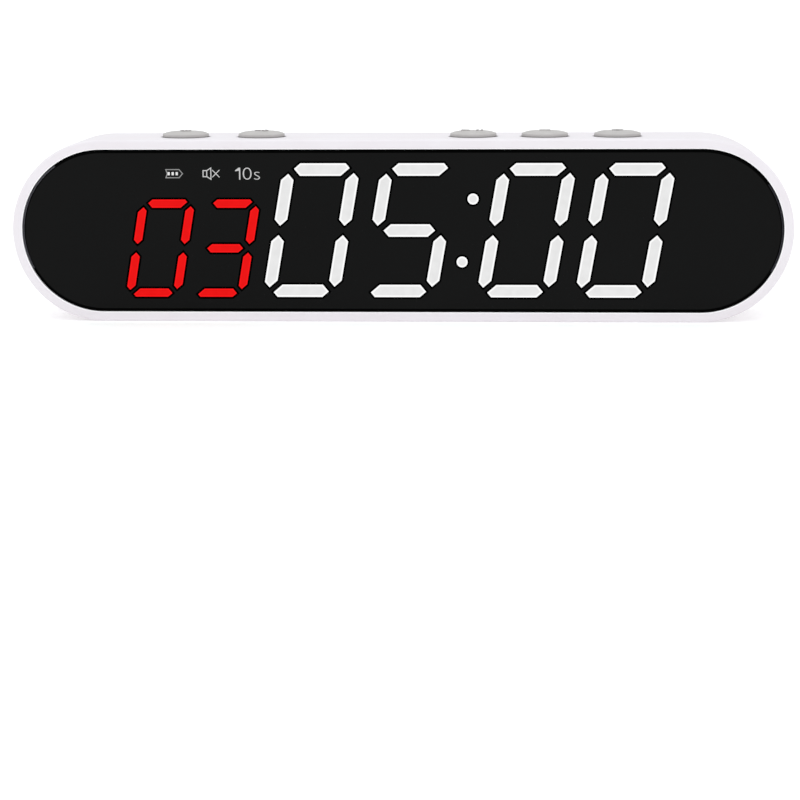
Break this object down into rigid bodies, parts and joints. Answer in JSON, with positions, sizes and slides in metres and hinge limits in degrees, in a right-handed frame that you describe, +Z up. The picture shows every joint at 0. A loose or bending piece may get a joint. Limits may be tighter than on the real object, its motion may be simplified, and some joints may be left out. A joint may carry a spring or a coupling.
{
  "type": "gym round timer",
  "caption": "Slim capsule-shaped digital round timer with a black display window, push-buttons on its flat top and a USB-C socket at the back.",
  "frame": {"origin": "middle of the flat underside, at the bottom centre of the whole timer", "axes": "+X along the timer, to the right as seen from the front; the display faces -Y; +Z up through the buttons"},
  "size_m": [0.16, 0.022, 0.0383],
  "materials": {
    "white_abs": "white ABS, fine satin moulded texture",
    "black_acrylic": "tinted black acrylic, polished, fine chamfered edge",
    "grey_silicone": "light grey soft-touch moulding with raised signs",
    "adhesive": "black double-sided tape",
    "milky_film": "milky diffusing film",
    "black_plastic": "black moulded plastic",
    "board_green": "green solder resist",
    "chip_black": "black epoxy",
    "steel": "plated steel socket shell",
    "screw_steel": "zinc-plated screw",
    "magnet_nickel": "nickel-plated magnet",
    "cell_foil": "aluminium laminate pouch",
    "foam": "black foam tape",
    "natural_nylon": "natural nylon",
    "wire_red": "red wire insulation",
    "wire_black": "black wire insulation"
  },
  "bodies": {
    "case": {"front_housing": "white_abs", "rear_cover": "white_abs", "front_lens": "black_acrylic", "lens_tape": "adhesive", "diffuser_sheet": "milky_film", "reflector_block": "black_plastic", "main_board": "board_green", "mcu_chip": "chip_black", "led_driver_chip": "chip_black", "charge_board": "board_green", "board_link_header": "black_plastic", "usb_c_shell": "steel", "usb_c_tongue": "chip_black", "battery_cell": "cell_foil", "battery_pad": "foam", "battery_connector": "natural_nylon", "battery_lead_red": "wire_red", "battery_lead_black": "wire_black", "buzzer": "black_plastic", "rear_magnet_left": "magnet_nickel", "rear_magnet_right": "magnet_nickel", "board_screw_1": "screw_steel", "cover_screw_1": "screw_steel", "board_screw_2": "screw_steel", "cover_screw_2": "screw_steel", "board_screw_3": "screw_steel", "cover_screw_3": "screw_steel", "board_screw_4": "screw_steel", "cover_screw_4": "screw_steel", "switch_body_power": "chip_black", "switch_body_sound": "chip_black", "switch_body_start": "chip_black", "switch_body_minus": "chip_black", "switch_body_plus": "chip_black"},
    "power_button": {"button_cap_power": "grey_silicone", "switch_plunger_power": "black_plastic"},
    "sound_button": {"button_cap_sound": "grey_silicone", "switch_plunger_sound": "black_plastic"},
    "start_button": {"button_cap_start": "grey_silicone", "switch_plunger_start": "black_plastic"},
    "minus_button": {"button_cap_minus": "grey_silicone", "switch_plunger_minus": "black_plastic"},
    "plus_button": {"button_cap_plus": "grey_silicone", "switch_plunger_plus": "black_plastic"}
  },
  "joints": [
    {"name": "power_press", "type": "slide", "parent": "case", "child": "power_button", "axis": [0, 0, -1], "range_m": [0, 0.0006], "stiffness_N_per_m": 1500},
    {"name": "sound_press", "type": "slide", "parent": "case", "child": "sound_button", "axis": [0, 0, -1], "range_m": [0, 0.0006], "stiffness_N_per_m": 1500},
    {"name": "start_press", "type": "slide", "parent": "case", "child": "start_button", "axis": [0, 0, -1], "range_m": [0, 0.0006], "stiffness_N_per_m": 1500},
    {"name": "minus_press", "type": "slide", "parent": "case", "child": "minus_button", "axis": [0, 0, -1], "range_m": [0, 0.0006], "stiffness_N_per_m": 1500},
    {"name": "plus_press", "type": "slide", "parent": "case", "child": "plus_button", "axis": [0, 0, -1], "range_m": [0, 0.0006], "stiffness_N_per_m": 1500}
  ]
}
